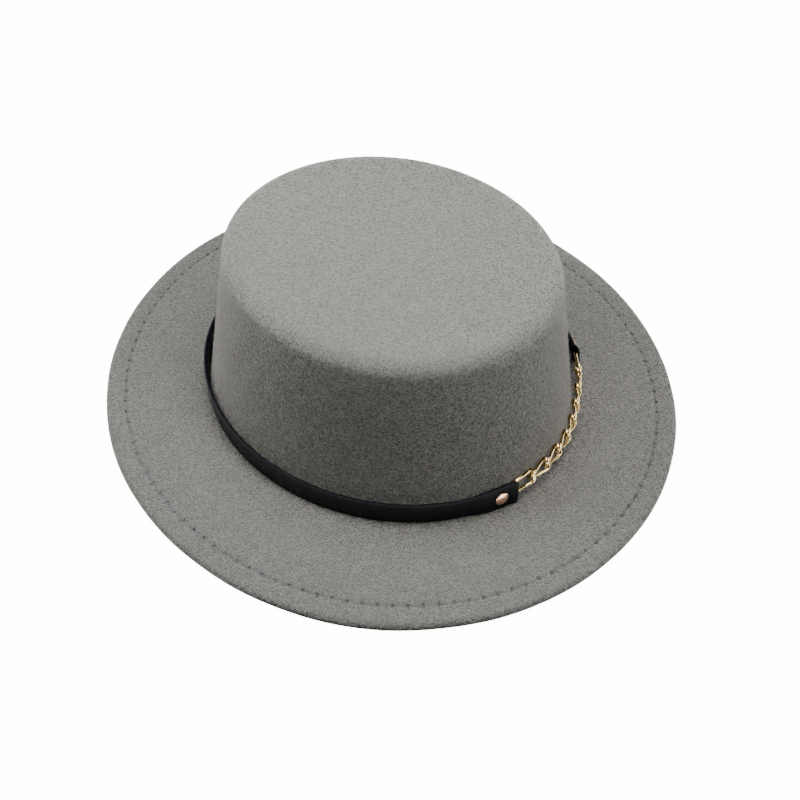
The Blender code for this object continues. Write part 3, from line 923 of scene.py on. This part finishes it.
def sheet_mesh(name, half):
    """A level square."""
    corners = half * np.array([[-1, -1, 0], [1, -1, 0], [1, 1, 0], [-1, 1, 0]], float)
    return new_mesh(name, corners, np.array([[0, 1, 2, 3]]))


def add_light(name, power, size, right, away, up):
    """A square light this far to the camera's right, away from the camera and up, turned to the hat."""
    to_right, to_back, aim = Vector((0.44, -0.898, 0)), Vector((0.898, 0.44, 0)), Vector((0, 0, 0.05))
    data = bpy.data.lights.new(name, "AREA")
    data.size = size
    data.energy = power
    lamp = new_object(name, data)
    place = to_right * right + to_back * away + Vector((0, 0, up))
    lamp.location = place
    lamp.rotation_euler = (aim - place).to_track_quat("-Z", "Y").to_euler()


def build_stage(stage):
    """Camera, pale floor and air, and the lights: one wide overhead, three small ones low over the hat and
    one far out on the left."""
    data = bpy.data.cameras.new("camera")
    data.lens = stage.lens
    data.sensor_width = 36
    camera = new_object("camera", data)
    camera.location = stage.camera
    camera.rotation_euler = stage.view
    bpy.context.scene.camera = camera

    made = Finish("pale_floor")
    cloud = made.noise(3, 2)
    made.set(Base_Color=made.mixed(cloud, tuple(stage.floor), tuple(0.98 * value for value in stage.floor)),
             Roughness=0.8, Emission_Color=(1, 1, 1), Emission_Strength=stage.glow)
    floor = new_object("floor", sheet_mesh("floor", 6.0))
    floor.data.materials.append(made.material)
    floor.visible_diffuse = False
    floor.visible_shadow = False

    for name, power, size, right, away, up in (("overhead_light", stage.overhead, 0.6, 0.0, 0.2, 1.2),
                                               ("front_light", stage.front, 0.15, 0.2, -0.2, 0.35),
                                               ("middle_light", stage.middle, 0.15, 0.0, -0.02, 0.35),
                                               ("left_light", stage.left, 0.15, -0.2, 0.0, 0.35),
                                               ("side_light", stage.side, 0.4, -0.9, 0.0, 0.6)):
        add_light(name, power, size, right, away, up)

    world = bpy.data.worlds.new("air")
    world.use_nodes = True
    background = world.node_tree.nodes["Background"]
    background.inputs["Color"].default_value = (1, 1, 1, 1)
    background.inputs["Strength"].default_value = stage.glow
    world.cycles_visibility.diffuse = False
    world.cycles_visibility.glossy = False
    bpy.context.scene.world = world


# Operators

def settings():
    """The settings of felt, stitches, strap and chain."""
    scene = bpy.context.scene
    return scene.fedora_felt, scene.fedora_stitches, scene.fedora_strap, scene.fedora_chain


def chain_line():
    """The line of strap and chain, and their settings."""
    felt, _, strap, chain = settings()
    return ChainLine(felt, strap, chain), strap, chain


class FEDORA_OT_felt(bpy.types.Operator):
    """Makes the felt crown, brim and hem"""
    bl_idname = "fedora.felt"
    bl_label = "Felt"

    def execute(self, context):
        felt, stitches, _, _ = settings()
        mesh = build_felt(felt, stitches)
        new_piece("hat_felt", mesh, felt_finish(felt, stitches), "grey_felt", "felt_body")
        return {"FINISHED"}


class FEDORA_OT_nap(bpy.types.Operator):
    """Makes the loose fibres on the felt"""
    bl_idname = "fedora.nap"
    bl_label = "Nap"

    def execute(self, context):
        felt, stitches, _, _ = settings()
        new_piece("felt_nap", build_nap(felt, stitches), nap_finish(felt), "grey_felt")
        return {"FINISHED"}


class FEDORA_OT_stitches(bpy.types.Operator):
    """Makes the row of stitches on the brim and the one under the hem"""
    bl_idname = "fedora.stitches"
    bl_label = "Stitches"

    def execute(self, context):
        felt, stitches, _, _ = settings()
        finish = thread_finish(stitches)
        inset = np.array([stitches.inset])
        top = float(brim_top(felt, stitches, inset)[0]) - 0.7 * stitches.groove
        for name, level, side in (("stitches_top", top, 1), ("stitches_under", 0.9 * stitches.groove, -1)):
            points, quads, caps = build_stitches(felt, stitches, level, side)
            new_piece(name, new_mesh(name, points, quads, caps), finish, "grey_felt")
        return {"FINISHED"}


class FEDORA_OT_strap(bpy.types.Operator):
    """Makes the leather strap with its two folded ends"""
    bl_idname = "fedora.strap"
    bl_label = "Strap"

    def execute(self, context):
        line, strap, chain = chain_line()
        mesh = build_strap(line, strap, chain)
        new_piece("leather_strap", mesh, leather_finish(strap), "black_leather", "strap")
        return {"FINISHED"}


class FEDORA_OT_rivets(bpy.types.Operator):
    """Makes the two rivets that hold the strap's ends"""
    bl_idname = "fedora.rivets"
    bl_label = "Rivets"

    def execute(self, context):
        line, strap, chain = chain_line()
        finish = metal_finish("copper_plate", tuple(strap.copper), 0.18, 0.14)
        for name, side, node in (("cap_rivet_near", -1, "rivet_near"), ("cap_rivet_far", 1, "rivet_far")):
            new_piece(name, build_rivet(name, line, side, strap, chain), finish, "copper", node)
        return {"FINISHED"}


class FEDORA_OT_chain(bpy.types.Operator):
    """Makes the twisted links of the chain"""
    bl_idname = "fedora.chain"
    bl_label = "Chain"

    def execute(self, context):
        line, strap, chain = chain_line()
        finish = metal_finish("gold_plate", tuple(chain.gold), 0.07, 0.09)
        for k in range(chain.count):
            name = f"curb_link_{k + 1}"
            new_piece(name, build_link(name, line, chain, k), finish, "gold", f"chain_link_{k + 1}")
        return {"FINISHED"}


class FEDORA_OT_stage(bpy.types.Operator):
    """Sets the camera, the floor and the lights"""
    bl_idname = "fedora.stage"
    bl_label = "Stage"

    def execute(self, context):
        build_stage(bpy.context.scene.fedora_stage)
        return {"FINISHED"}


class FEDORA_PT_panel(bpy.types.Panel):
    """Lists the steps in the order in which they run."""
    bl_idname = "FEDORA_PT_panel"
    bl_label = "Flat Top Fedora"
    bl_space_type = "VIEW_3D"
    bl_region_type = "UI"
    bl_category = "Fedora"

    def draw(self, context):
        for step in STEPS:
            self.layout.operator(step.bl_idname)


STEPS = (FEDORA_OT_stage, FEDORA_OT_felt, FEDORA_OT_nap, FEDORA_OT_stitches, FEDORA_OT_strap,
         FEDORA_OT_rivets, FEDORA_OT_chain)
GROUPS = {"fedora_felt": FEDORA_PG_felt, "fedora_stitches": FEDORA_PG_stitches,
          "fedora_strap": FEDORA_PG_strap, "fedora_chain": FEDORA_PG_chain, "fedora_stage": FEDORA_PG_stage}


def register():
    for made in (*GROUPS.values(), *STEPS, FEDORA_PT_panel):
        bpy.utils.register_class(made)
    for name, group in GROUPS.items():
        setattr(bpy.types.Scene, name, bpy.props.PointerProperty(type=group))


def unregister():
    for name in GROUPS:
        delattr(bpy.types.Scene, name)
    for made in (FEDORA_PT_panel, *reversed(STEPS), *reversed(list(GROUPS.values()))):
        bpy.utils.unregister_class(made)


def main():
    """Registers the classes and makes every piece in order."""
    register()
    bpy.ops.fedora.stage()
    bpy.ops.fedora.felt()
    bpy.ops.fedora.nap()
    bpy.ops.fedora.stitches()
    bpy.ops.fedora.strap()
    bpy.ops.fedora.rivets()
    bpy.ops.fedora.chain()


if __name__ == "__main__":
    main()
